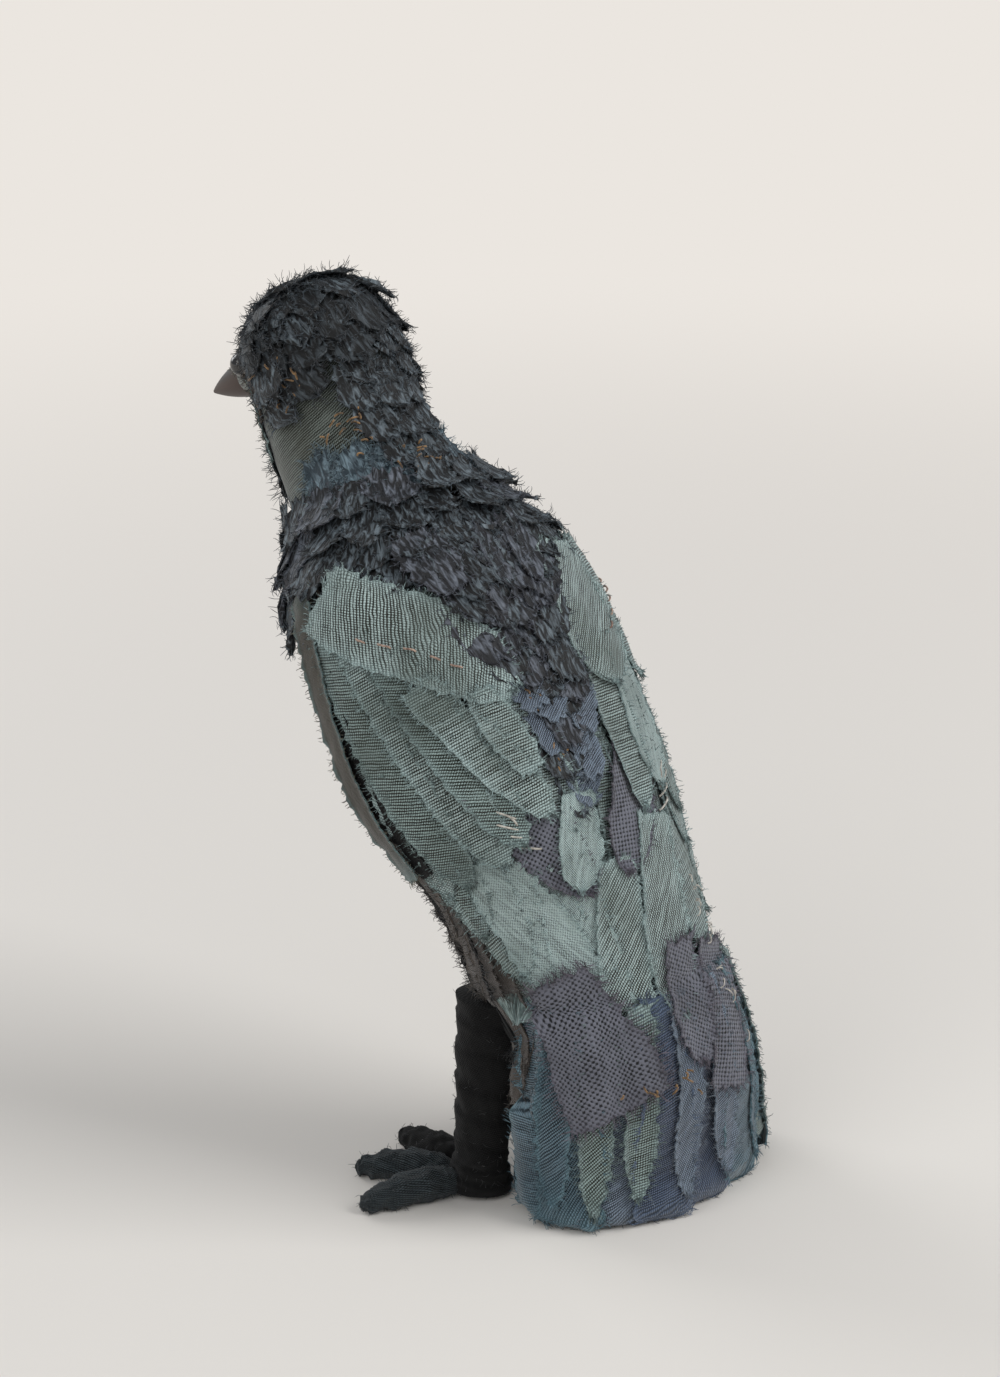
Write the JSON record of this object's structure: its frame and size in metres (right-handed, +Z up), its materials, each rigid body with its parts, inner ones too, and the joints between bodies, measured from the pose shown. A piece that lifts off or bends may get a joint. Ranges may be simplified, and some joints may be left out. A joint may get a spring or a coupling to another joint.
{
  "type": "stuffed cloth bird figure",
  "caption": "Hand-sewn stuffed bird of layered cloth scraps with hinged cloth wings, wire legs and a fanned tail that props it upright.",
  "frame": {"origin": "on the ground under the middle of the bird's bounding box", "axes": "+Z up, -Y the way the beak points, +X the bird's left"},
  "size_m": [0.1119, 0.1869, 0.2408],
  "materials": {
    "stuffing": "rough",
    "dark_cloth": "rough",
    "neck_twill": "twill",
    "twill_cloth": "twill",
    "hopsack_cloth": "hopsack weave",
    "black_scraps": "frayed",
    "navy_cloth": "plain weave",
    "teal_cloth": "plain weave",
    "beak_horn": "satin",
    "eye_glass": "polished",
    "thread": "waxed",
    "wire": "drawn"
  },
  "bodies": {
    "torso": {"body_stuffing": "stuffing", "head_stuffing": "stuffing", "tail_core": "dark_cloth", "body_cover": "dark_cloth", "neck_cover": "neck_twill", "crown_cap": "black_scraps", "nape_patch": "black_scraps", "chin_tuft": "black_scraps", "mantle_ruff": "black_scraps", "spine_patch": "black_scraps", "saddle_patch": "twill_cloth", "breast_patch": "neck_twill", "beak": "beak_horn", "tail_root_patch": "hopsack_cloth", "left_eye": "eye_glass", "left_eyelid": "dark_cloth", "left_wing_stitches": "thread", "left_leg_wrap": "dark_cloth", "left_leg_wire": "wire", "left_flank_patch": "dark_cloth", "left_inner_toe": "dark_cloth", "left_middle_toe": "dark_cloth", "left_outer_toe": "teal_cloth", "right_eye": "eye_glass", "right_eyelid": "dark_cloth", "right_wing_stitches": "thread", "right_leg_wrap": "dark_cloth", "right_leg_wire": "wire", "right_flank_patch": "dark_cloth", "right_inner_toe": "dark_cloth", "right_middle_toe": "dark_cloth", "right_outer_toe": "teal_cloth", "tail_blade_1": "teal_cloth", "tail_blade_2": "hopsack_cloth", "tail_blade_3": "twill_cloth", "tail_blade_4": "teal_cloth", "tail_blade_5": "navy_cloth", "tail_blade_6": "teal_cloth", "tail_blade_7": "twill_cloth", "tail_blade_8": "teal_cloth"},
    "left_wing": {"left_wing_panel": "twill_cloth", "left_rim": "dark_cloth", "left_shoulder_patch": "twill_cloth", "left_long_feather_front": "twill_cloth", "left_long_feather_middle": "twill_cloth", "left_long_feather_rear": "twill_cloth", "left_covert_front": "twill_cloth", "left_covert_rear": "twill_cloth", "left_hopsack_patch": "hopsack_cloth"},
    "right_wing": {"right_wing_panel": "twill_cloth", "right_rim": "dark_cloth", "right_shoulder_patch": "twill_cloth", "right_long_feather_front": "twill_cloth", "right_long_feather_middle": "twill_cloth", "right_long_feather_rear": "twill_cloth", "right_covert_front": "twill_cloth", "right_covert_rear": "twill_cloth", "right_hopsack_patch": "hopsack_cloth"}
  },
  "joints": [
    {"name": "left_wing_lift", "type": "hinge", "parent": "torso", "child": "left_wing", "pos_m": [0.04324, 0.00436, 0.16822], "axis": [0.3337, -0.808, -0.4855], "range_deg": [0, 22]},
    {"name": "right_wing_lift", "type": "hinge", "parent": "torso", "child": "right_wing", "pos_m": [-0.03724, 0.00436, 0.16822], "axis": [0.3337, 0.808, 0.4855], "range_deg": [0, 22]}
  ]
}
